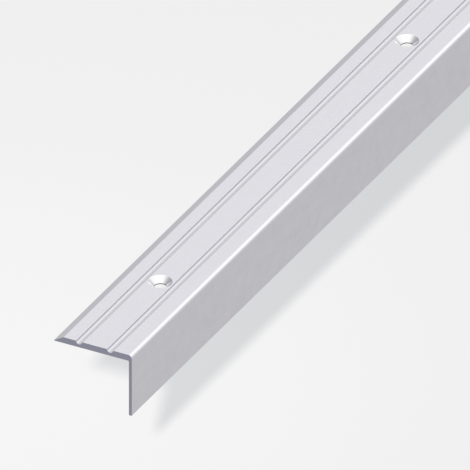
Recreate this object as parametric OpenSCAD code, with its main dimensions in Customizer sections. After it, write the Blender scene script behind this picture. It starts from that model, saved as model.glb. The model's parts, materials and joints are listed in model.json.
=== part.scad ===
// Edge strip for a step or a raised threshold: one extruded length of
// angle-shaped aluminium, screwed down over the front edge.
//
// +Z is up and +Y runs along the strip. +X points out of the front, away
// from the step. The origin is where the edge of the step sits: in the inner
// corner, at the underside of the tread leg and the inner face of the lip,
// half way along. All sizes are in millimetres and degrees.

/* [Strip] */
// Length of the strip
strip_length = 1000; // [300:10:2500]
// Width from the back edge to the front face
strip_width = 25; // [25:0.5:60]
// Height from the tread face down to the bottom of the lip
strip_height = 20; // [8:0.5:50]

/* [Tread leg] */
// Thickness of the leg that lies on the tread
tread_thickness = 2; // [1.8:0.1:4]
// Width of the bevel along the back edge
bevel_width = 3; // [1:0.1:3]
// Slope of that bevel
bevel_angle = 30; // [10:1:30]

/* [Lip] */
// Thickness of the lip that covers the front of the step
lip_thickness = 1; // [0.8:0.1:2]
// Radius of the outer front corner
front_radius = 1.2; // [0.6:0.1:1.5]
// Radius of the fillet inside the angle
inner_radius = 0.3; // [0.1:0.1:1]
// Radius of both edges at the bottom of the lip
lip_edge_radius = 0.25; // [0.1:0.05:0.35]

/* [Grip grooves] */
// Distance from the back edge to the first groove's centre
first_groove_setback = 8; // [5:0.5:9]
// Distance between the two groove centres
groove_pitch = 10; // [9.5:0.5:12]
// Width of a groove at the surface
groove_width = 2.2; // [2:0.1:2.4]
// Depth of a groove
groove_depth = 0.95; // [0.4:0.05:1]

/* [Screw holes] */
// Distance from the end of the strip to the first hole
first_hole_margin = 40; // [15:5:80]
// Least distance from the last hole to the other end
last_hole_margin = 20; // [15:5:80]
// Distance from hole to hole
hole_pitch = 150; // [100:10:400]
// Diameter of the through hole
hole_d = 3.6; // [3.5:0.1:5]
// Diameter of the countersink at the surface
countersink_d = 7; // [6:0.1:7]
// Full angle of the countersink
countersink_angle = 90; // [90:1:120]

/* [Hidden] */
$fn = 96;

anodised_silver = [0.80, 0.80, 0.82];

// How far a cutter stands past the surface that it cuts
overcut = 1;
groove_count = 2;

// Outline
front_x = lip_thickness;
back_x = front_x - strip_width;
top_z = tread_thickness;
bottom_z = top_z - strip_height;
bevel_height = bevel_width * tan(bevel_angle);
round_x = front_x - front_radius;
round_z = top_z - front_radius;

// A groove is the part of a round bar that lies below the surface
groove_radius = (pow(groove_width / 2, 2) + pow(groove_depth, 2)) / (2 * groove_depth);
groove_centre_z = top_z - groove_depth + groove_radius;

// Hole row, midway between the grooves
hole_x = back_x + first_groove_setback + groove_pitch * (groove_count - 1) / 2;
hole_room = strip_length - first_hole_margin - last_hole_margin;
hole_count = floor(hole_room / hole_pitch) + 1;
first_hole_y = first_hole_margin - strip_length / 2;
countersink_slope = tan(countersink_angle / 2);
countersink_depth = (countersink_d - hole_d) / 2 / countersink_slope;

// Leg on the tread, bevelled behind and rounded in front
module tread_leg() {
    polygon([
        [back_x, 0],
        [front_x, 0],
        [front_x, round_z],
        [round_x, round_z],
        [round_x, top_z],
        [back_x + bevel_width, top_z],
        [back_x, top_z - bevel_height]
    ]);
    translate([round_x, round_z])
        intersection() {
            circle(r = front_radius);
            square(front_radius);
        }
}

// Lip with its two rounded bottom edges
module lip() {
    translate([0, bottom_z + lip_edge_radius])
        square([lip_thickness, -bottom_z - lip_edge_radius]);
    translate([lip_edge_radius, bottom_z])
        square([lip_thickness - 2 * lip_edge_radius, lip_edge_radius]);
    for (x = [lip_edge_radius, lip_thickness - lip_edge_radius])
        translate([x, bottom_z + lip_edge_radius])
            circle(r = lip_edge_radius);
}

// Fillet where the two legs meet
module inner_fillet() {
    difference() {
        translate([-inner_radius, -inner_radius])
            square(inner_radius);
        translate([-inner_radius, -inner_radius])
            circle(r = inner_radius);
    }
}

// Round bars that cut the grip grooves
module groove_cutters() {
    for (i = [0 : groove_count - 1])
        translate([back_x + first_groove_setback + i * groove_pitch, groove_centre_z])
            circle(r = groove_radius);
}

// Cross-section, with X to the front and Y up
module cross_section() {
    difference() {
        union() {
            tread_leg();
            lip();
            inner_fillet();
        }
        groove_cutters();
    }
}

// Cutter of one countersunk screw hole, with its axis on Z and the tread face at 0
module screw_hole() {
    translate([0, 0, -tread_thickness - overcut])
        cylinder(h = tread_thickness + 2 * overcut, d = hole_d);
    translate([0, 0, -countersink_depth])
        cylinder(
            h = countersink_depth + overcut,
            d1 = hole_d,
            d2 = countersink_d + 2 * overcut * countersink_slope
        );
}

// The whole extrusion, drilled and countersunk
module nosing_profile() {
    color(anodised_silver)
        difference() {
            rotate([90, 0, 0])
                linear_extrude(height = strip_length, center = true)
                    cross_section();
            for (i = [0 : hole_count - 1])
                translate([hole_x, first_hole_y + i * hole_pitch, top_z])
                    screw_hole();
        }
}

nosing_profile();
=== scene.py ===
"""Step edge strip: a sawn length of silver anodised aluminium angle for the edge of a step.

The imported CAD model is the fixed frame. One piece, the strip itself, is worked out here as closed
surfaces with softened edges, coved grip grooves and turned screw seats. It stands for the CAD node,
and it is set on a plain pale floor under soft light. Lengths are in millimetres until a mesh is made.
"""

import json
import logging
import math
from dataclasses import dataclass, field, replace
from enum import Enum

import bpy
import numpy as np
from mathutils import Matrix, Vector


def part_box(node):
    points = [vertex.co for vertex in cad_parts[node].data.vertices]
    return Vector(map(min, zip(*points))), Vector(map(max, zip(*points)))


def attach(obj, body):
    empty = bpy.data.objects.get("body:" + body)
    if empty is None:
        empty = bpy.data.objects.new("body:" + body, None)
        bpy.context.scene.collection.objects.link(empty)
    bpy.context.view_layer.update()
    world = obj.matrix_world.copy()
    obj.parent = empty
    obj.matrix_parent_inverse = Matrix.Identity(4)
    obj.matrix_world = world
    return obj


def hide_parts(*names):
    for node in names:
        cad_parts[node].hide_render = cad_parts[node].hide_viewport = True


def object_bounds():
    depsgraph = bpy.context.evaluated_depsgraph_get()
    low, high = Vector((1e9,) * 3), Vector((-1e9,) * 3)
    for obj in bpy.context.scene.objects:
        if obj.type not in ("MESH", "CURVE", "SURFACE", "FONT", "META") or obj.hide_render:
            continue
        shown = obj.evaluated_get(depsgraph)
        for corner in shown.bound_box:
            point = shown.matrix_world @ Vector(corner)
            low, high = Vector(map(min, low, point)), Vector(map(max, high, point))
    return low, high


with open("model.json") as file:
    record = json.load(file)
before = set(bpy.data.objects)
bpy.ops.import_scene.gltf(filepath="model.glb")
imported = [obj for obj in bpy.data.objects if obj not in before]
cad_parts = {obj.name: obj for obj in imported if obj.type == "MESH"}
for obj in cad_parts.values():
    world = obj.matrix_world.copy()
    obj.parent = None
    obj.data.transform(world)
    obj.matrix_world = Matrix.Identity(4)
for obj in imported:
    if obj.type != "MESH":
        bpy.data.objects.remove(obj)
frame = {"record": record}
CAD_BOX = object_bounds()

MM = 0.001  # metres
WELD = 1e-4  # millimetres between points that count as one
log = logging.getLogger("step_edge_strip")


class Face(Enum):
    """The finishes on the strip, in the order of its material slots."""

    SKIN = 0
    SAWN_END = 1
    SCREW_SEAT = 2


# ---------------------------------------------------------------- paths


def arc(centre: np.ndarray, radius: float, start: float, end: float, facet: float) -> np.ndarray:
    """Points on a circle: centre + radius * (cos a, sin a), with a running evenly from start to end.

    Args:
        centre: The circle's centre, two numbers.
        radius: Its radius.
        start: First angle, in degrees.
        end: Last angle, in degrees.
        facet: The largest step between two points, in degrees.

    Returns:
        The points, one row each.
    """
    steps = max(2, math.ceil(abs(end - start) / facet))
    angle = np.radians(np.linspace(start, end, steps + 1))
    return np.asarray(centre) + radius * np.stack([np.cos(angle), np.sin(angle)], axis=1)


def fillet(before: np.ndarray, corner: np.ndarray, after: np.ndarray, radius: float,
           facet: float) -> np.ndarray:
    """The arc that rounds one corner of a path.

    With m and n the left-hand unit normals of the two sides, and s = -1 where the path turns left
    and +1 where it turns right, the centre is corner - s * radius * (m + n) / (1 + m.n), and the
    arc is centre + s * radius * (cos a, sin a), where a turns from the angle of m to that of n.

    Args:
        before: A point on the side that comes in.
        corner: The sharp corner.
        after: A point on the side that goes out.
        radius: Radius of the rounding.
        facet: The largest step between two points, in degrees.

    Returns:
        The arc's points, from the first side to the second.
    """
    sides = np.array([np.subtract(corner, before), np.subtract(after, corner)])
    sides /= np.linalg.norm(sides, axis=1)[:, None]
    m, n = np.stack([-sides[:, 1], sides[:, 0]], axis=1)
    turn = math.degrees(math.atan2(m[0] * n[1] - m[1] * n[0], m @ n))
    s = -math.copysign(1.0, turn)
    centre = np.asarray(corner) - s * radius * (m + n) / (1 + m @ n)
    first = math.degrees(math.atan2(s * m[1], s * m[0]))
    return arc(centre, radius, first, first + turn, facet)


# ---------------------------------------------------------------- mesh


@dataclass
class Stock:
    """Gathers surfaces and welds them into one closed mesh.

    Attributes:
        points: Blocks of points, in millimetres.
        faces: Blocks of faces, each a two-dimensional array of point numbers.
        finish: The finish number of every face, block by block.
        patch: The patch number of every face. Edges between two patches are kept crisp.
        count: How many points there are so far.
    """

    points: list[np.ndarray] = field(default_factory=list)
    faces: list[np.ndarray] = field(default_factory=list)
    finish: list[np.ndarray] = field(default_factory=list)
    patch: list[np.ndarray] = field(default_factory=list)
    count: int = 0

    def add_grid(self, grid: np.ndarray, finish: np.ndarray | int, patch: np.ndarray,
                 keep: np.ndarray) -> None:
        """Adds a surface that is given as a grid of points.

        A face joins points (i, j), (i+1, j), (i+1, j+1) and (i, j+1). Its outside is where the
        first direction crossed with the second one points.

        Args:
            grid: Points, rows by columns by 3.
            finish: Finish number of each face, rows - 1 by columns - 1, or one for them all.
            patch: Patch number of each face, in the same form.
            keep: Which of the faces are made, in the same form.
        """
        rows, columns = grid.shape[:2]
        number = np.arange(rows * columns).reshape(rows, columns) + self.count
        quads = np.stack([number[:-1, :-1], number[1:, :-1], number[1:, 1:], number[:-1, 1:]], axis=-1)
        self.points.append(grid.reshape(-1, 3))
        self.faces.append(quads[keep])
        self.finish.append(np.broadcast_to(finish, keep.shape)[keep])
        self.patch.append(np.broadcast_to(patch, keep.shape)[keep])
        self.count += rows * columns

    def add_cap(self, loop: np.ndarray, finish: int, patch: int) -> None:
        """Adds one flat many-sided face.

        Args:
            loop: Its points in order, anticlockwise as seen from outside.
            finish: Its finish number.
            patch: Its patch number.
        """
        self.points.append(loop)
        self.faces.append(np.arange(len(loop))[None, :] + self.count)
        self.finish.append(np.array([finish]))
        self.patch.append(np.array([patch]))
        self.count += len(loop)

    def weld(self, name: str) -> bpy.types.Object:
        """Merges points that coincide, drops the unused ones and makes the mesh object.

        Args:
            name: Name of the object and its mesh.

        Returns:
            The new object, at the origin, with its place in its mesh.
        """
        points = np.concatenate(self.points)
        _, first, merged = np.unique(np.round(points / WELD).astype(np.int64), axis=0,
                                     return_index=True, return_inverse=True)
        faces = [merged.reshape(-1)[block] for block in self.faces]
        used = np.unique(np.concatenate([block.ravel() for block in faces]))
        renumber = np.zeros(len(first), np.int64)
        renumber[used] = np.arange(len(used))
        faces = [renumber[block] for block in faces]
        mesh = bpy.data.meshes.new(name)
        rows = [row for block in faces for row in block.tolist()]
        mesh.from_pydata((points[first[used]] * MM).tolist(), [], rows, shade_flat=False)
        mesh.polygons.foreach_set("material_index", np.concatenate(self.finish).astype(np.int32))
        self._mark_crisp_edges(mesh, faces)
        mesh.validate()
        piece = bpy.data.objects.new(name, mesh)
        bpy.context.scene.collection.objects.link(piece)
        return piece

    def _mark_crisp_edges(self, mesh: bpy.types.Mesh, faces: list[np.ndarray]) -> None:
        """Marks each edge whose two faces lie in different patches, so that flats shade flat.

        Args:
            mesh: The mesh that was just made.
            faces: Its faces, block by block, in the mesh's own point numbers.
        """
        size = len(mesh.vertices)
        keys, patches = [], []
        for block, patch in zip(faces, self.patch):
            ends = np.sort(np.stack([block, np.roll(block, -1, axis=1)], axis=-1), axis=-1)
            keys.append((ends[..., 0] * size + ends[..., 1]).ravel())
            patches.append(np.repeat(patch, block.shape[1]))
        known, where = np.unique(np.concatenate(keys), return_inverse=True)
        lowest = np.full(len(known), np.iinfo(np.int64).max)
        highest = np.full(len(known), -1)
        np.minimum.at(lowest, where.reshape(-1), np.concatenate(patches))
        np.maximum.at(highest, where.reshape(-1), np.concatenate(patches))
        ends = np.zeros(2 * len(mesh.edges), np.int64)
        mesh.edges.foreach_get("vertices", ends)
        ends = np.sort(ends.reshape(-1, 2), axis=1)
        at = np.searchsorted(known, ends[:, 0] * size + ends[:, 1])
        crisp = mesh.attributes.new("sharp_edge", "BOOLEAN", "EDGE")
        crisp.data.foreach_set("value", (lowest != highest)[at])


# ---------------------------------------------------------------- the strip


@dataclass(frozen=True)
class ScrewSeat:
    """A countersunk screw hole through the tread leg.

    Attributes:
        bore_radius: Radius of the through hole.
        sink_radius: Radius of the countersink at the tread face.
        sink_slope: Angle between the countersink's wall and its axis, in degrees.
        rim_radius: Radius that softens the countersink's rim.
        lip_radius: Radius that softens the bore's two edges.
        facet: The largest step round those radii, in degrees.
        side_steps: Steps across each side of the square plate round a hole.
    """

    bore_radius: float = 1.8
    sink_radius: float = 3.5
    sink_slope: float = 45.0
    rim_radius: float = 0.2
    lip_radius: float = 0.05
    facet: float = 15.0
    side_steps: int = 20

    def fan(self) -> np.ndarray:
        """Places across a side of a unit square plate: tan a, with a evenly from -45 to 45 degrees."""
        return np.tan(np.radians(np.linspace(-45.0, 45.0, self.side_steps + 1)))

    def wall(self, plate: float, thickness: float) -> list[np.ndarray]:
        """The path down the hole as radius and height: tread face, countersink, bore, underside.

        Args:
            plate: Half the side of the square plate.
            thickness: Thickness of the tread leg.

        Returns:
            The stretches of the path. Straight sides join each one to the next.
        """
        drop = (self.sink_radius - self.bore_radius) / math.tan(math.radians(self.sink_slope))
        corners = np.array([
            [plate, thickness],
            [self.sink_radius, thickness],
            [self.bore_radius, thickness - drop],
            [self.bore_radius, 0.0],
            [plate, 0.0],
        ])
        radii = (self.rim_radius, self.lip_radius, self.lip_radius)
        turns = [fillet(*corners[i:i + 3], radius, self.facet) for i, radius in enumerate(radii)]
        return [corners[:1], *turns, corners[-1:]]

    def add_to(self, stock: Stock, x: float, y: float, plate: float, thickness: float,
               patch: int) -> None:
        """Adds the square plate on both faces and the whole wall of one hole.

        The surface is (x + r cos a, y + r sin a, z), with a all the way round and (r, z) along the
        wall's path. On the first and last rows r = plate / max(|cos a|, |sin a|), which is a square.

        Args:
            stock: Where the surface goes.
            x: Place of the hole's axis across the strip.
            y: Place of the axis along the strip.
            plate: Half the side of the square plate.
            thickness: Thickness of the tread leg.
            patch: The first free patch number.
        """
        stretches = self.wall(plate, thickness)
        path = np.concatenate(stretches)
        stretch = np.concatenate([np.full(len(s), i) for i, s in enumerate(stretches)])
        angle = np.radians(np.linspace(-45.0, 315.0, 4 * self.side_steps + 1))
        cos, sin = np.cos(angle)[:, None], np.sin(angle)[:, None]
        radius = np.repeat(path[None, :, 0], len(angle), axis=0)
        radius[:, [0, -1]] = plate / np.maximum(np.abs(cos), np.abs(sin))
        height = np.broadcast_to(path[None, :, 1], radius.shape)
        grid = np.stack([x + radius * cos, y + radius * sin, height], axis=-1)
        rows = stretch[:-1] + stretch[1:]
        flat = (rows <= 1) | (rows >= rows.max())
        finish = np.where(flat, Face.SKIN.value, Face.SCREW_SEAT.value)
        keep = np.ones((len(angle) - 1, len(path) - 1), bool)
        stock.add_grid(grid, finish, patch + rows, keep)


@dataclass(frozen=True)
class Section:
    """The cross-section of the strip, as X to the front and Z up, with its edges softened.

    Attributes:
        front: X of the lip's outer face.
        back: X of the tread leg's back edge.
        top: Z of the tread face. The underside of the leg is at 0.
        bottom: Z of the bottom of the lip.
        bevel_width: Width of the bevel behind.
        bevel_angle: Its slope, in degrees.
        front_radius: Radius of the front corner.
        inner_radius: Radius of the fillet inside the angle.
        lip_edge_radius: Radius of both edges of the lip's bottom.
        crisp_radius: Radius of the edges that an extrusion die leaves nearly sharp.
        ridge_radius: Radius along the top of the bevel.
        groove_setback: From the back edge to the first groove's centre.
        groove_pitch: From groove to groove.
        groove_width: Width of a groove at the tread face.
        groove_depth: Depth of a groove.
        rim_radius: Radius along both rims of a groove.
        facet: The largest step round a radius, in degrees.
        plate_margin: Flat left between a groove's rim and the plates round the holes.
        corners_behind: How many of the corners lie behind the holes' row, at the end of their list.
    """

    front: float
    back: float
    top: float
    bottom: float
    bevel_width: float = 3.0
    bevel_angle: float = 30.0
    front_radius: float = 1.2
    inner_radius: float = 0.3
    lip_edge_radius: float = 0.25
    crisp_radius: float = 0.06
    ridge_radius: float = 0.45
    groove_setback: float = 8.0
    groove_pitch: float = 10.0
    groove_width: float = 2.2
    groove_depth: float = 0.95
    rim_radius: float = 0.1
    facet: float = 6.0
    plate_margin: float = 0.03
    corners_behind: int = 3

    def groove_radius(self) -> float:
        """Radius of a groove's round bottom: (half width squared + depth squared) / (2 depth)."""
        return ((self.groove_width / 2) ** 2 + self.groove_depth ** 2) / (2 * self.groove_depth)

    def rim_offset(self) -> float:
        """From a groove's centre to where the tread face starts beyond its softened rim."""
        rise = self.groove_radius() - self.groove_depth + self.rim_radius
        return math.sqrt((self.groove_radius() + self.rim_radius) ** 2 - rise ** 2)

    def plate(self) -> float:
        """Half the side of the square plate round a hole, which fits between the grooves."""
        return self.groove_pitch / 2 - self.rim_offset() - self.plate_margin

    def groove(self, x: float) -> np.ndarray:
        """One grip groove: a softened rim, the round bottom and the other rim.

        The rims' centres lie rim_radius under the tread face, rim_offset to either side, and the
        three arcs meet on the lines from them to the groove's own centre.

        Args:
            x: X of the groove's centre.

        Returns:
            Its points, from the back to the front.
        """
        rise = self.groove_radius() - self.groove_depth
        turn = math.degrees(math.atan2(self.rim_offset(), rise + self.rim_radius))
        sunk = self.top - self.rim_radius
        hollow = arc((x, self.top + rise), self.groove_radius(), 270 - turn, 270 + turn, self.facet)
        return np.concatenate([
            arc((x - self.rim_offset(), sunk), self.rim_radius, 90, 90 - turn, self.facet * 2),
            hollow[1:-1],
            arc((x + self.rim_offset(), sunk), self.rim_radius, 90 + turn, 90, self.facet * 2),
        ])

    def corners(self) -> list[tuple[float, float, float, float]]:
        """The sharp corners as X, Z, radius and facet, clockwise as seen from the near end."""
        shoulder = self.top - self.bevel_width * math.tan(math.radians(self.bevel_angle))
        return [
            (self.front, self.top, self.front_radius, self.facet / 2),
            (self.front, self.bottom, self.lip_edge_radius, self.facet * 2),
            (0.0, self.bottom, self.lip_edge_radius, self.facet * 2),
            (0.0, 0.0, self.inner_radius, self.facet * 2),
            (self.back, 0.0, self.crisp_radius, self.facet * 2),
            (self.back, shoulder, self.crisp_radius, self.facet * 2),
            (self.back + self.bevel_width, self.top, self.ridge_radius, self.facet),
        ]

    def outline(self, fan: np.ndarray) -> list[np.ndarray]:
        """The whole outline, clockwise as seen from the near end, from the plates' row on top.

        Args:
            fan: Places across the plates' row, from -1 to 1.

        Returns:
            Its stretches. Straight sides join each one to the next, and the last to the first.
        """
        row = self.back + self.groove_setback + self.groove_pitch / 2
        across = self.plate() * fan
        corners = self.corners()
        xz = np.array([corner[:2] for corner in corners])
        rounded = [fillet(before, at, after, radius, facet) for before, at, after, (_, _, radius, facet)
                   in zip(np.roll(xz, 1, axis=0), xz, np.roll(xz, -1, axis=0), corners)]
        over = np.stack([row + across, np.full(len(fan), self.top)], axis=1)
        under = np.stack([row - across, np.zeros(len(fan))], axis=1)
        before_under = len(corners) - self.corners_behind
        return [
            over,
            self.groove(row + self.groove_pitch / 2),
            *rounded[:before_under],
            under,
            *rounded[before_under:],
            self.groove(row - self.groove_pitch / 2),
        ]


@dataclass(frozen=True)
class GroovePaintedShade:
    """Painted shade in the round bottom of a groove, from 0 in the open to 1.

    Attributes:
        middle: Painted shade at the groove's middle.
        lean: How much more of it there is one radius behind the middle.
        shade_streak: What the dark streak of painted shade adds.
        streak_place: Where the streak lies behind the middle, as a share of the radius.
        streak_width: How far from there it has fallen to a third, in the same measure.
    """

    middle: float = 0.4
    lean: float = 0.2
    shade_streak: float = 0.55
    streak_place: float = 0.28
    streak_width: float = 0.2

    def at(self, behind: np.ndarray) -> np.ndarray:
        """Painted shade: middle + lean * b + s * exp(-u squared), with s the streak's strength and u =
        (b - streak_place) / streak_width.
        """
        off = (behind - self.streak_place) / self.streak_width
        return self.middle + self.lean * behind + self.shade_streak * np.exp(-off ** 2)


@dataclass
class NosingStrip:
    """The extruded strip: its section carried along Y, sawn at both ends, drilled and countersunk.

    Attributes:
        node: The CAD node that it stands for.
        slot: The record's material slot for its finish. Not used.
        end_radius: Radius that the deburred ends have.
        end_steps: Steps round that radius.
        seat: The screw holes.
        groove_painted_shade: How much painted shade the grooves take.
        ends: Y of the near and the far end.
        section: The cross-section.
        holes: X and Y of each hole's axis, one row each, from the near end on.
        piece: The strip, once it is built.
    """

    node: str = "nosing_profile"
    slot: str = "anodised_aluminium"
    end_radius: float = 0.04
    end_steps: int = 3
    seat: ScrewSeat = field(default_factory=ScrewSeat)
    groove_painted_shade: GroovePaintedShade = field(default_factory=GroovePaintedShade)
    ends: tuple[float, float] = field(init=False)
    section: Section = field(init=False)
    holes: np.ndarray = field(init=False)
    piece: bpy.types.Object = field(init=False)

    def __post_init__(self) -> None:
        """Reads the strip's extent from the CAD node and the holes' places from the record's mounts."""
        low, high = (np.array(corner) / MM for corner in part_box(self.node))
        self.ends = (low[1], high[1])
        self.section = Section(front=high[0], back=low[0], top=high[2], bottom=low[2])
        holes = [mount["pos_m"] for mount in frame["record"]["mounts"] if mount["kind"] == "bore"]
        self.holes = np.array(sorted(holes, key=lambda place: place[1]))[:, :2] / MM

    def stations(self) -> tuple[np.ndarray, np.ndarray]:
        """Places along Y where the section is drawn, and how far each one is drawn in.

        The ends are quarter rounds: inset = r (1 - sin a) at a distance r (1 - cos a) from the end,
        with a from 0 to 90 degrees. Between them are the sides and steps of each hole's plate.

        Returns:
            The places along Y and the insets.
        """
        angle = np.radians(np.linspace(0.0, 90.0, self.end_steps + 1))
        step = self.end_radius * (1 - np.cos(angle))
        inset = self.end_radius * (1 - np.sin(angle))
        rows = self.holes[:, 1:] + self.section.plate() * self.seat.fan()
        y = np.concatenate([self.ends[0] + step, rows.ravel(), self.ends[1] - step[::-1]])
        return y, np.concatenate([inset, np.zeros(rows.size), inset[::-1]])

    def build(self) -> bpy.types.Object:
        """Makes the strip's mesh.

        The skin is outline(u) + inset(v) * inward(u) at Y = station(v), where inward is the
        mitred normal -(m + n) / (1 + m.n) of the two sides that meet at u. Its faces inside the
        plates give way to the holes' own surfaces.

        Returns:
            The strip as one closed object.
        """
        stretches = self.section.outline(self.seat.fan())
        outline = np.concatenate(stretches)
        stretch = np.concatenate([np.full(len(s), i) for i, s in enumerate(stretches)])
        side = np.roll(outline, -1, axis=0) - outline
        side /= np.linalg.norm(side, axis=1)[:, None]
        after = np.stack([-side[:, 1], side[:, 0]], axis=1)
        before = np.roll(after, 1, axis=0)
        inward = -(before + after) / (1 + (before * after).sum(axis=1))[:, None]
        y, inset = self.stations()
        xz = outline[:, None, :] + inward[:, None, :] * inset[None, :, None]
        grid = np.stack([xz[..., 0], np.broadcast_to(y, xz.shape[:2]), xz[..., 1]], axis=-1)
        following = np.roll(stretch, -1)
        columns = np.where(stretch == following, 2 * stretch, 2 * stretch + 1)
        at_end = (inset[:-1] + inset[1:]) > 0
        patch = columns[:, None] + (columns.max() + 1) * at_end[None, :]
        free = int(patch.max()) + 1
        stock = Stock()
        closed = np.concatenate([grid, grid[:1]])
        stock.add_grid(closed, Face.SKIN.value, patch, ~self._in_plates(outline, y))
        for x, along in self.holes:
            self.seat.add_to(stock, x, along, self.section.plate(), self.section.top, free)
        spare = free + 2 * len(self.seat.wall(self.section.plate(), self.section.top))
        stock.add_cap(grid[::-1, 0], Face.SAWN_END.value, spare)
        stock.add_cap(grid[:, -1], Face.SAWN_END.value, spare)
        self.piece = stock.weld("nosing_strip")
        self._paint_hollow_shade()
        return self.piece

    def _paint_hollow_shade(self) -> None:
        """Stores how much painted shade each point takes, from 0 in the open to 1, for the finishes to
        read.

        In a groove it is the groove's painted shade at b, where b is how far behind the groove's middle
        the point lies, as a share of the groove's radius. On a bore's wall it is 1, which is painted
        shade too.
        """
        mesh = self.piece.data
        points = np.zeros(3 * len(mesh.vertices), np.float32)
        mesh.vertices.foreach_get("co", points)
        x, y, z = points.reshape(-1, 3).T / MM
        section, seat = self.section, self.seat
        grooves = self.holes[0, 0] + section.groove_pitch * np.array([-0.5, 0.5])
        nearest = grooves[np.abs(x[:, None] - grooves).argmin(axis=1)]
        sunk = (z > 0) & (z < section.top - section.rim_radius / 2)
        in_groove = sunk & (np.abs(x - nearest) < section.rim_offset())
        behind = (nearest - x) / section.groove_radius()
        # Painted shade: a value in each groove, and 1 on each bore's wall, by which the finishes are
        # darkened.
        painted_shading = np.where(in_groove, self.groove_painted_shade.at(behind), 0.0)
        reach = np.hypot(x - self.holes[0, 0], np.abs(y[:, None] - self.holes[:, 1]).min(axis=1))
        painted_shading = np.where(reach < seat.bore_radius + WELD, 1.0, painted_shading)
        hollow = mesh.attributes.new("hollow", "FLOAT", "POINT")
        hollow.data.foreach_set("value", painted_shading.astype(np.float32))

    def _in_plates(self, outline: np.ndarray, y: np.ndarray) -> np.ndarray:
        """Which faces of the skin lie inside the square plates.

        Args:
            outline: The section's points.
            y: The stations.

        Returns:
            Outline sides by station gaps, true inside a plate.
        """
        plate = self.section.plate()
        middle = (outline + np.roll(outline, -1, axis=0)) / 2
        flat = np.abs(outline - np.roll(outline, -1, axis=0))[:, 1] < WELD
        level = np.isin(np.round(middle[:, 1], 3), np.round([0.0, self.section.top], 3))
        in_row = flat & level & (np.abs(middle[:, 0] - self.holes[0, 0]) < plate)
        centre = (y[:-1] + y[1:]) / 2
        near_hole = (np.abs(centre[None, :] - self.holes[:, 1:]) < plate).any(axis=0)
        return in_row[:, None] & near_hole[None, :]

    def dress(self) -> None:
        """Gives the strip its finishes and ties it to the frame."""
        pitch = float(self.holes[1, 1] - self.holes[0, 1])
        finishes = {
            Face.SKIN: SatinSkin().make(),
            Face.SAWN_END: SawnEnd().make(),
            Face.SCREW_SEAT: TurnedSeat(axis=tuple(self.holes[0] * MM), pitch=pitch * MM).make(),
        }
        for face in Face:
            self.piece.data.materials.append(finishes[face])
        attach(self.piece, "root")
        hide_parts(self.node)


# ---------------------------------------------------------------- shader tools


class Wire:
    """A number in a node tree. Python arithmetic on it adds Math nodes."""

    def __init__(self, bench: "Bench", socket: bpy.types.NodeSocket) -> None:
        """Wraps a number socket.

        Args:
            bench: The tree's bench.
            socket: The output that carries the number.
        """
        self.bench = bench
        self.socket = socket

    def _math(self, operation: str, *values: "Wire | float") -> "Wire":
        """Adds one Math node that works on the given values, in order."""
        node = self.bench.node("ShaderNodeMath", {"operation": operation}, dict(enumerate(values)))
        return self.bench.wire(node)

    def __add__(self, other: "Wire | float") -> "Wire":
        """This plus another."""
        return self._math("ADD", self, other)

    def __radd__(self, other: float) -> "Wire":
        """A number plus this."""
        return self._math("ADD", other, self)

    def __sub__(self, other: "Wire | float") -> "Wire":
        """This less another."""
        return self._math("SUBTRACT", self, other)

    def __rsub__(self, other: float) -> "Wire":
        """A number less this."""
        return self._math("SUBTRACT", other, self)

    def __mul__(self, other: "Wire | float") -> "Wire":
        """This times another."""
        return self._math("MULTIPLY", self, other)

    def __rmul__(self, other: float) -> "Wire":
        """A number times this."""
        return self._math("MULTIPLY", other, self)

    def __truediv__(self, other: "Wire | float") -> "Wire":
        """This over another."""
        return self._math("DIVIDE", self, other)

    def __rtruediv__(self, other: float) -> "Wire":
        """A number over this."""
        return self._math("DIVIDE", other, self)

    def __pow__(self, other: float) -> "Wire":
        """This to a power."""
        return self._math("POWER", self, other)

    def exp(self) -> "Wire":
        """The number e to the power of this."""
        return self._math("EXPONENT", self)

    def clipped(self) -> "Wire":
        """This, kept between 0 and 1."""
        settings = {"operation": "ADD", "use_clamp": True}
        return self.bench.wire(self.bench.node("ShaderNodeMath", settings, {0: self, 1: 0.0}))

    def wave(self) -> "Wire":
        """The sine of this."""
        return self._math("SINE", self)

    def wrapped(self, low: float, high: float) -> "Wire":
        """This, carried back into the range from low to high."""
        return self._math("WRAP", self, high, low)


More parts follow.
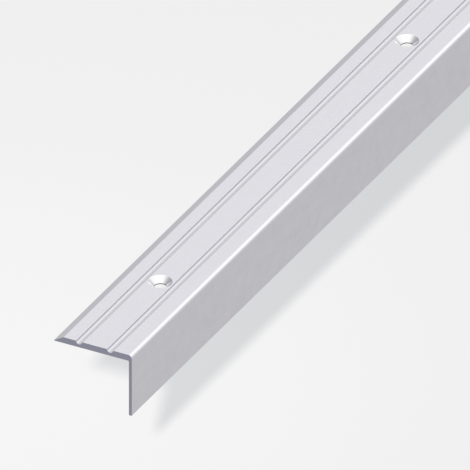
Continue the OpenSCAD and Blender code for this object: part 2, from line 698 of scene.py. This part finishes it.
class Bench:
    """Adds nodes to one tree."""

    def __init__(self, tree: bpy.types.NodeTree) -> None:
        """Takes an empty or emptied tree.

        Args:
            tree: The node tree.
        """
        self.tree = tree
        tree.nodes.clear()

    def node(self, kind: str, settings: dict | None = None,
             inputs: dict | None = None) -> bpy.types.Node:
        """Adds a node, sets it up, then fills its sockets.

        Args:
            kind: The node's type.
            settings: Values of its properties.
            inputs: A value, wire or socket for each of the sockets named or numbered.

        Returns:
            The node.
        """
        node = self.tree.nodes.new(kind)
        for name, value in (settings or {}).items():
            setattr(node, name, value)
        for name, value in (inputs or {}).items():
            source = value.socket if isinstance(value, Wire) else value
            if isinstance(source, bpy.types.NodeSocket):
                self.tree.links.new(source, node.inputs[name])
            else:
                node.inputs[name].default_value = source
        return node

    def wire(self, node: bpy.types.Node, output: str | int = 0) -> Wire:
        """One output of a node as a number."""
        return Wire(self, node.outputs[output])

    def place(self) -> tuple[Wire, Wire, Wire]:
        """The three object coordinates, in metres."""
        coordinates = self.node("ShaderNodeTexCoord")
        split = self.node("ShaderNodeSeparateXYZ", {}, {"Vector": coordinates.outputs["Object"]})
        return self.wire(split, "X"), self.wire(split, "Y"), self.wire(split, "Z")

    def vector(self, x: Wire | float, y: Wire | float, z: Wire | float) -> bpy.types.NodeSocket:
        """Three numbers as one vector."""
        return self.node("ShaderNodeCombineXYZ", {}, {"X": x, "Y": y, "Z": z}).outputs["Vector"]

    def hollow(self) -> Wire:
        """How much painted shade the surface takes, from 0 in the open to 1."""
        return self.wire(self.node("ShaderNodeAttribute", {"attribute_name": "hollow"}), "Fac")

    def noise(self, vector: bpy.types.NodeSocket, scale: float, detail: float = 2.0) -> Wire:
        """Smooth noise about 0, from roughly -0.5 to 0.5.

        Args:
            vector: Where it is read.
            scale: Bumps per unit of the vector.
            detail: How many finer layers there are.

        Returns:
            The noise.
        """
        node = self.node("ShaderNodeTexNoise", {}, {"Vector": vector, "Scale": scale, "Detail": detail})
        return self.wire(node, "Fac") - 0.5

    def ripple(self, turns: Wire) -> Wire:
        """A sine about 0, from -0.5 to 0.5, that comes back at every whole number of turns."""
        return (turns * (2 * math.pi)).wave() * 0.5

    def tinted(self, colour: tuple[float, float, float], shade: Wire) -> bpy.types.NodeSocket:
        """A colour times a shade that varies over the surface."""
        grey = self.vector(shade, shade, shade)
        node = self.node("ShaderNodeVectorMath", {"operation": "MULTIPLY"}, {0: grey, 1: colour})
        return node.outputs["Vector"]


@dataclass(frozen=True)
class Share:
    """How strongly one layer of a pattern shows.

    Attributes:
        shade: In the shade.
        roughness: In the roughness.
        relief: In the relief.
    """

    shade: Wire | float = 0.0
    roughness: float = 0.0
    relief: float = 0.0


@dataclass(frozen=True, kw_only=True)
class Finish:
    """A metal whose shade, roughness and relief vary by a pattern over its surface.

    Attributes:
        name: The material's name.
        colour: Base colour at a shade of 1.
        roughness: Middle roughness.
        depth: Height of the relief at a value of 1, in metres.
    """

    name: str
    colour: tuple[float, float, float]
    roughness: float
    depth: float

    def blend(self, *layers: tuple[Share, Wire]) -> tuple[Wire, Wire, Wire]:
        """Adds up the layers of a pattern.

        Args:
            layers: Each layer's share and its value, which swings about 0.

        Returns:
            Shade, roughness and relief: 1, the middle roughness and 0, and to each of them the sum
            of share * value.
        """
        shade, roughness, relief = 1.0, self.roughness, 0.0
        for share, value in layers:
            shade = shade + share.shade * value
            roughness = roughness + share.roughness * value
            relief = relief + share.relief * value
        return shade, roughness, relief

    def pattern(self, bench: Bench) -> tuple[Wire, Wire, Wire]:
        """Shade, roughness and relief. Each finish has its own."""
        raise NotImplementedError

    def make(self) -> bpy.types.Material:
        """The finished material, made from the pattern."""
        material = bpy.data.materials.new(self.name)
        material.use_nodes = True
        bench = Bench(material.node_tree)
        shade, roughness, relief = self.pattern(bench)
        bumps = {"Strength": 1.0, "Distance": self.depth, "Height": relief}
        bump = bench.node("ShaderNodeBump", {}, bumps)
        shader = bench.node("ShaderNodeBsdfPrincipled", {}, {
            "Base Color": bench.tinted(self.colour, shade),
            "Metallic": 1.0,
            "Roughness": roughness,
            "Normal": bump.outputs["Normal"],
        })
        bench.node("ShaderNodeOutputMaterial", {}, {"Surface": shader.outputs["BSDF"]})
        return material


@dataclass(frozen=True, kw_only=True)
class SatinSkin(Finish):
    """Silver anodised aluminium: satin, with faint die lines along the strip and an etched grain.

    Attributes:
        line_pitch: Typical distance between fine die lines, in metres.
        band_pitch: Typical width of the broad, faint bands, in metres.
        run: Length over which a line fades in and out, in metres.
        grain_pitch: Size of the etched grain, in metres.
        cloud_pitch: Size of the faint clouds in the anodic film, in metres.
        lines: How strongly the lines show.
        bands: How strongly the bands show.
        clouds: How strongly the clouds show.
        lip_clouds: How much more strongly they show in the lip's shade.
        grain: How strongly the grain shows.
        painted_shade_strength: How much painted shade darkens the skin deep in a groove.
    """

    name: str = "satin_anodised_aluminium"
    colour: tuple[float, float, float] = (0.68, 0.673, 0.709)
    roughness: float = 0.3
    depth: float = 0.000004
    line_pitch: float = 0.0005
    band_pitch: float = 0.0022
    run: float = 0.09
    grain_pitch: float = 0.0003
    cloud_pitch: float = 0.004
    lines: Share = Share(0.03, 0.06, 0.8)
    bands: Share = Share(0.02)
    clouds: Share = Share(0.02, 0.05)
    lip_clouds: float = 0.11
    grain: Share = Share(0.18, 0.06, 0.35)
    painted_shade_strength: float = 0.3

    def pattern(self, bench: Bench) -> tuple[Wire, Wire, Wire]:
        """Shade, roughness and relief. Lines are noise that is drawn out along Y by run / pitch.

        Args:
            bench: The material's bench.

        Returns:
            The blend of lines, bands, clouds and grain, with the grooves' painted shade taken off the
            shade. The clouds are stronger on the lip, fully so from 1 mm below the tread leg.
        """
        x, y, z = bench.place()
        along = y / self.run
        lines = bench.noise(bench.vector(x / self.line_pitch, along, z / self.line_pitch), 1.0)
        bands = bench.noise(bench.vector(x / self.band_pitch, along, z / self.band_pitch), 1.0, 1.0)
        here = bench.vector(x, y, z)
        grain = bench.noise(here, 1 / self.grain_pitch, 1.0)
        clouds = bench.noise(here, 1 / self.cloud_pitch, 3.0)
        on_lip = (0 - z / MM).clipped()
        cloudy = replace(self.clouds, shade=self.clouds.shade + self.lip_clouds * on_lip)
        layers = (self.lines, lines), (self.bands, bands), (cloudy, clouds), (self.grain, grain)
        shade, roughness, relief = self.blend(*layers)
        # Painted shade: the skin is darkened deep in the grooves.
        return shade * (1 - self.painted_shade_strength * bench.hollow()), roughness, relief


@dataclass(frozen=True, kw_only=True)
class SawnEnd(Finish):
    """The sawn end: bare, darker and matt, with the blade's strokes across it.

    Attributes:
        stroke_pitch: Distance between the blade's strokes, in metres.
        lean: How far the strokes lean, as X per Z.
        grain_pitch: Size of the torn grain, in metres.
        sway_pitch: Size of the bends in the strokes, in metres.
        bend: How far those bends carry a stroke, in strokes.
        strokes: How strongly the strokes show.
        torn: How strongly the torn grain shows.
        sway: How strongly the bends show.
    """

    name: str = "sawn_aluminium_end"
    colour: tuple[float, float, float] = (0.446, 0.451, 0.539)
    roughness: float = 0.5
    depth: float = 0.000006
    stroke_pitch: float = 0.00042
    lean: float = 0.55
    grain_pitch: float = 0.0002
    sway_pitch: float = 0.003
    bend: float = 1.2
    strokes: Share = Share(0.05, 0.06, 0.7)
    torn: Share = Share(0.14, 0.12, 0.6)
    sway: Share = Share(0.08)

    def pattern(self, bench: Bench) -> tuple[Wire, Wire, Wire]:
        """Shade, roughness and relief. Strokes are a sine across them, bent and broken by noise.

        Args:
            bench: The material's bench.

        Returns:
            The blend of strokes, torn grain and bends.
        """
        x, y, z = bench.place()
        here = bench.vector(x, y, z)
        sway = bench.noise(here, 1 / self.sway_pitch)
        strokes = bench.ripple((x * self.lean + z) / self.stroke_pitch + self.bend * sway)
        torn = bench.noise(here, 1 / self.grain_pitch)
        return self.blend((self.strokes, strokes), (self.torn, torn), (self.sway, sway))


@dataclass(frozen=True, kw_only=True)
class TurnedSeat(Finish):
    """The countersink and bore: bright, with the fine rings that the tool turned.

    Attributes:
        axis: X and Y of one hole's axis, in metres.
        pitch: Distance from hole to hole along Y, in metres.
        ring_pitch: Distance between the rings, in metres.
        chatter_pitch: Size of the unevenness that the cutter's chatter leaves, in metres.
        bend: How far the chatter carries a ring, in rings.
        rings: How strongly the rings show.
        chatter: How strongly the chatter shows.
        painted_shade_strength: How much painted shade darkens the bore's wall.
        painted_fans: Fans of painted shade on the countersink's wall: direction from the axis in
            degrees, and loss.
        painted_fan_sharpness: How narrow the fans of painted shade are.
    """

    axis: tuple[float, float]
    pitch: float
    name: str = "turned_screw_seat"
    colour: tuple[float, float, float] = (0.9, 0.895, 0.91)
    roughness: float = 0.16
    depth: float = 0.000003
    ring_pitch: float = 0.00024
    chatter_pitch: float = 0.0009
    bend: float = 0.5
    rings: Share = Share(0.04, 0.05, 1.0)
    chatter: Share = Share(0.05, 0.06, 0.3)
    painted_shade_strength: float = 0.9
    painted_fans: tuple[tuple[float, float], ...] = ((71.0, 0.3), (192.0, 0.5))
    painted_fan_sharpness: float = 16.0

    def pattern(self, bench: Bench) -> tuple[Wire, Wire, Wire]:
        """Shade, roughness and relief. Rings are a sine of the distance from the nearest axis.

        Args:
            bench: The material's bench.

        Returns:
            The blend of rings and chatter, with painted shade on the bore's wall. The distance is the
            root of X squared plus Y squared from a hole's axis, with Y wrapped into half a pitch either
            way. A fan of painted shade takes loss * exp(sharpness * (cos a - 1)) off the shade, with a
            the angle from its direction.
        """
        x, y, z = bench.place()
        east = x - self.axis[0]
        north = (y - self.axis[1]).wrapped(-self.pitch / 2, self.pitch / 2)
        reach = (east * east + north * north) ** 0.5
        chatter = bench.noise(bench.vector(x, y, z), 1 / self.chatter_pitch)
        rings = bench.ripple(reach / self.ring_pitch + self.bend * chatter)
        shade, roughness, relief = self.blend((self.rings, rings), (self.chatter, chatter))
        # Painted shade: the bore's wall is darkened.
        shade = shade * (1 - self.painted_shade_strength * bench.hollow())
        # Painted shade: darker fans on the countersink's wall, set by direction round the axis.
        for direction, loss in self.painted_fans:
            turn = math.radians(direction)
            cosine = (math.cos(turn) * east + math.sin(turn) * north) / reach
            shade = shade * (1 - loss * (self.painted_fan_sharpness * (cosine - 1)).exp())
        return shade, roughness, relief


# ---------------------------------------------------------------- studio


@dataclass(frozen=True)
class WallLight:
    """A broad patch of light on the walls of the room, or of dark where its strength is negative.

    Attributes:
        toward: Unit direction of the middle of the patch, as seen from the strip.
        strength: Brightness that it adds there.
        sharpness: How fast it fades to the sides.
        blue: How much more blue than grey it is.
    """

    toward: tuple[float, float, float]
    strength: float
    sharpness: float
    blue: float = 0.0

    def add(self, bench: Bench, direction: bpy.types.NodeSocket) -> Wire:
        """Its brightness in a direction: strength * exp(sharpness * (toward . direction - 1))."""
        vectors = {0: direction, 1: self.toward}
        near = bench.node("ShaderNodeVectorMath", {"operation": "DOT_PRODUCT"}, vectors)
        return self.strength * (self.sharpness * (bench.wire(near, "Value") - 1)).exp()


@dataclass
class Studio:
    """A pale floor, soft light and a camera with parallel sight lines.

    Attributes:
        clearance: How far the floor lies below the strip, in millimetres.
        floor_radius: Radius of the round floor, in metres.
        floor_step: Angle between the points of its rim, in degrees.
        floor_glow: Brightness of the floor where the lamp doesn't reach.
        floor_tint: Colour of that glow, which is what shows in the shadow.
        floor_colour: Reflectance of the floor.
        lamp_strength: Strength of the lamp that casts the shadow.
        lamp_colour: Colour of the lamp, which makes the lit floor neutral.
        lamp_run: How far a shadow runs to the front and along the strip, for each unit of height.
        lamp_width: Angle that the lamp fills, in degrees, which softens the shadow.
        pool: Brightness that a wide pool of light adds to the floor at its middle.
        pool_place: X and Y of its middle, in millimetres from the front of the near end.
        pool_radius: Distance at which it has fallen to a third, in millimetres.
        room_level: Brightness of the room.
        room_front: How much brighter it gets towards the front.
        wall_lights: The broad patches of light and dark on its walls.
        azimuth: Direction of the camera round the strip, in degrees.
        elevation: Its height above the horizon, in degrees.
        view_width: Width of the view, in millimetres.
        aim: Where the view is centred: in from the front face, and in from the near end.
        distance: From the camera to that point, in metres.
        clip: Nearest and farthest distance that the camera shows, in metres.
    """

    clearance: float = 45.0
    floor_radius: float = 6.0
    floor_step: float = 3.0
    floor_glow: float = 0.656
    floor_tint: tuple[float, float, float] = (0.987, 1.0, 1.018)
    floor_colour: float = 0.1
    lamp_strength: float = 11.9
    lamp_colour: tuple[float, float, float] = (1.0, 0.95, 0.9)
    lamp_run: tuple[float, float] = (-0.533, 1.36)
    lamp_width: float = 3.0
    pool: float = 0.062
    pool_place: tuple[float, float] = (-101.0, 50.0)
    pool_radius: float = 140.0
    room_level: float = 0.362
    room_front: float = 0.108
    wall_lights: tuple[WallLight, ...] = (
        WallLight((0.283, 0.854, 0.437), 0.701, 14.56),
        WallLight((-0.999, -0.032, 0.008), -0.7, 3.687, blue=-0.11),
        WallLight((-0.296, 0.162, 0.941), 1.0, 0.8),
    )
    azimuth: float = 27.87
    elevation: float = 31.08
    view_width: float = 133.6
    aim: tuple[float, float] = (5.2, 72.5)
    distance: float = 0.6
    clip: tuple[float, float] = (0.01, 20.0)

    def lay_floor(self) -> bpy.types.Object:
        """A round floor, (radius cos a, radius sin a), as one many-sided face.

        It glows by floor_glow + pool * exp(-d squared), with d the distance from the pool's middle
        over its radius.

        Returns:
            The floor.
        """
        low, high = CAD_BOX
        angle = np.radians(np.arange(0.0, 360.0, self.floor_step))
        height = np.full(len(angle), low[2] - self.clearance * MM)
        east, north = self.floor_radius * np.cos(angle), self.floor_radius * np.sin(angle)
        rim = np.stack([east, north, height], axis=1)
        mesh = bpy.data.meshes.new("floor")
        mesh.from_pydata(rim.tolist(), [], [list(range(len(rim)))])
        floor = bpy.data.objects.new("floor", mesh)
        bpy.context.scene.collection.objects.link(floor)
        material = bpy.data.materials.new("pale_floor")
        material.use_nodes = True
        bench = Bench(material.node_tree)
        x, y, _ = bench.place()
        east = (x - high[0] - self.pool_place[0] * MM) / (self.pool_radius * MM)
        north = (y - low[1] - self.pool_place[1] * MM) / (self.pool_radius * MM)
        glow = self.floor_glow + self.pool * (0 - east * east - north * north).exp()
        grey = (self.floor_colour,) * 3 + (1.0,)
        shader = bench.node("ShaderNodeBsdfPrincipled", {}, {
            "Base Color": grey,
            "Roughness": 1.0,
            "Specular IOR Level": 0.0,
            "Emission Color": bench.tinted(self.floor_tint, glow),
            "Emission Strength": 1.0,
        })
        bench.node("ShaderNodeOutputMaterial", {}, {"Surface": shader.outputs["BSDF"]})
        mesh.materials.append(material)
        floor.visible_glossy = False
        floor.visible_diffuse = False
        return floor

    def hang_lamp(self) -> bpy.types.Object:
        """A distant, soft lamp, low on the camera's side, which casts the shadow on the floor."""
        light = bpy.data.lights.new("soft_lamp", "SUN")
        light.energy = self.lamp_strength
        light.color = self.lamp_colour
        light.angle = math.radians(self.lamp_width)
        lamp = bpy.data.objects.new("soft_lamp", light)
        lamp.rotation_euler = Vector((*self.lamp_run, -1.0)).to_track_quat("-Z", "Y").to_euler()
        lamp.visible_glossy = False
        bpy.context.scene.collection.objects.link(lamp)
        return lamp

    def light_room(self) -> bpy.types.World:
        """A soft room by the direction that a reflection takes: level + front * X + its wall lights.

        Returns:
            The room, which shows in the metal but casts no light on the floor.
        """
        world = bpy.data.worlds.new("soft_room")
        world.use_nodes = True
        bench = Bench(world.node_tree)
        coordinates = bench.node("ShaderNodeTexCoord")
        split = bench.node("ShaderNodeSeparateXYZ", {}, {"Vector": coordinates.outputs["Generated"]})
        grey = self.room_level + self.room_front * bench.wire(split, "X")
        blue: Wire | float = 0.0
        for light in self.wall_lights:
            here = light.add(bench, coordinates.outputs["Generated"])
            grey = grey + here
            blue = blue + light.blue * here
        room = bench.node("ShaderNodeBackground", {}, {"Color": bench.vector(grey, grey, grey + blue)})
        bench.node("ShaderNodeOutputWorld", {}, {"Surface": room.outputs["Background"]})
        bpy.context.scene.world = world
        world.cycles_visibility.diffuse = False
        return world

    def set_camera(self) -> bpy.types.Object:
        """A camera with parallel sight lines, aimed near the near end of the strip.

        Returns:
            The camera, which the scene now uses.
        """
        low, high = CAD_BOX
        aim = Vector((high[0] - self.aim[0] * MM, low[1] + self.aim[1] * MM, high[2]))
        turn, rise = math.radians(self.azimuth), math.radians(self.elevation)
        level = math.cos(rise)
        back = Vector((math.sin(turn) * level, -math.cos(turn) * level, math.sin(rise)))
        camera = bpy.data.cameras.new("camera")
        camera.type = "ORTHO"
        camera.ortho_scale = self.view_width * MM
        camera.clip_start, camera.clip_end = self.clip
        holder = bpy.data.objects.new("camera", camera)
        holder.location = aim + back * self.distance
        holder.rotation_euler = (-back).to_track_quat("-Z", "Y").to_euler()
        bpy.context.scene.collection.objects.link(holder)
        bpy.context.scene.camera = holder
        return holder

    def set_up(self) -> None:
        """Builds the whole studio and shows colours as they are."""
        self.lay_floor()
        self.hang_lamp()
        self.light_room()
        self.set_camera()
        bpy.context.scene.view_settings.view_transform = "Standard"


def main() -> None:
    """Builds and dresses the strip, then sets up the studio."""
    logging.basicConfig(level=logging.INFO, format="%(message)s")
    strip = NosingStrip()
    piece = strip.build()
    strip.dress()
    log.info("%s: %d faces, %d screw holes", piece.name, len(piece.data.polygons), len(strip.holes))
    Studio().set_up()


if __name__ == "__main__":
    main()
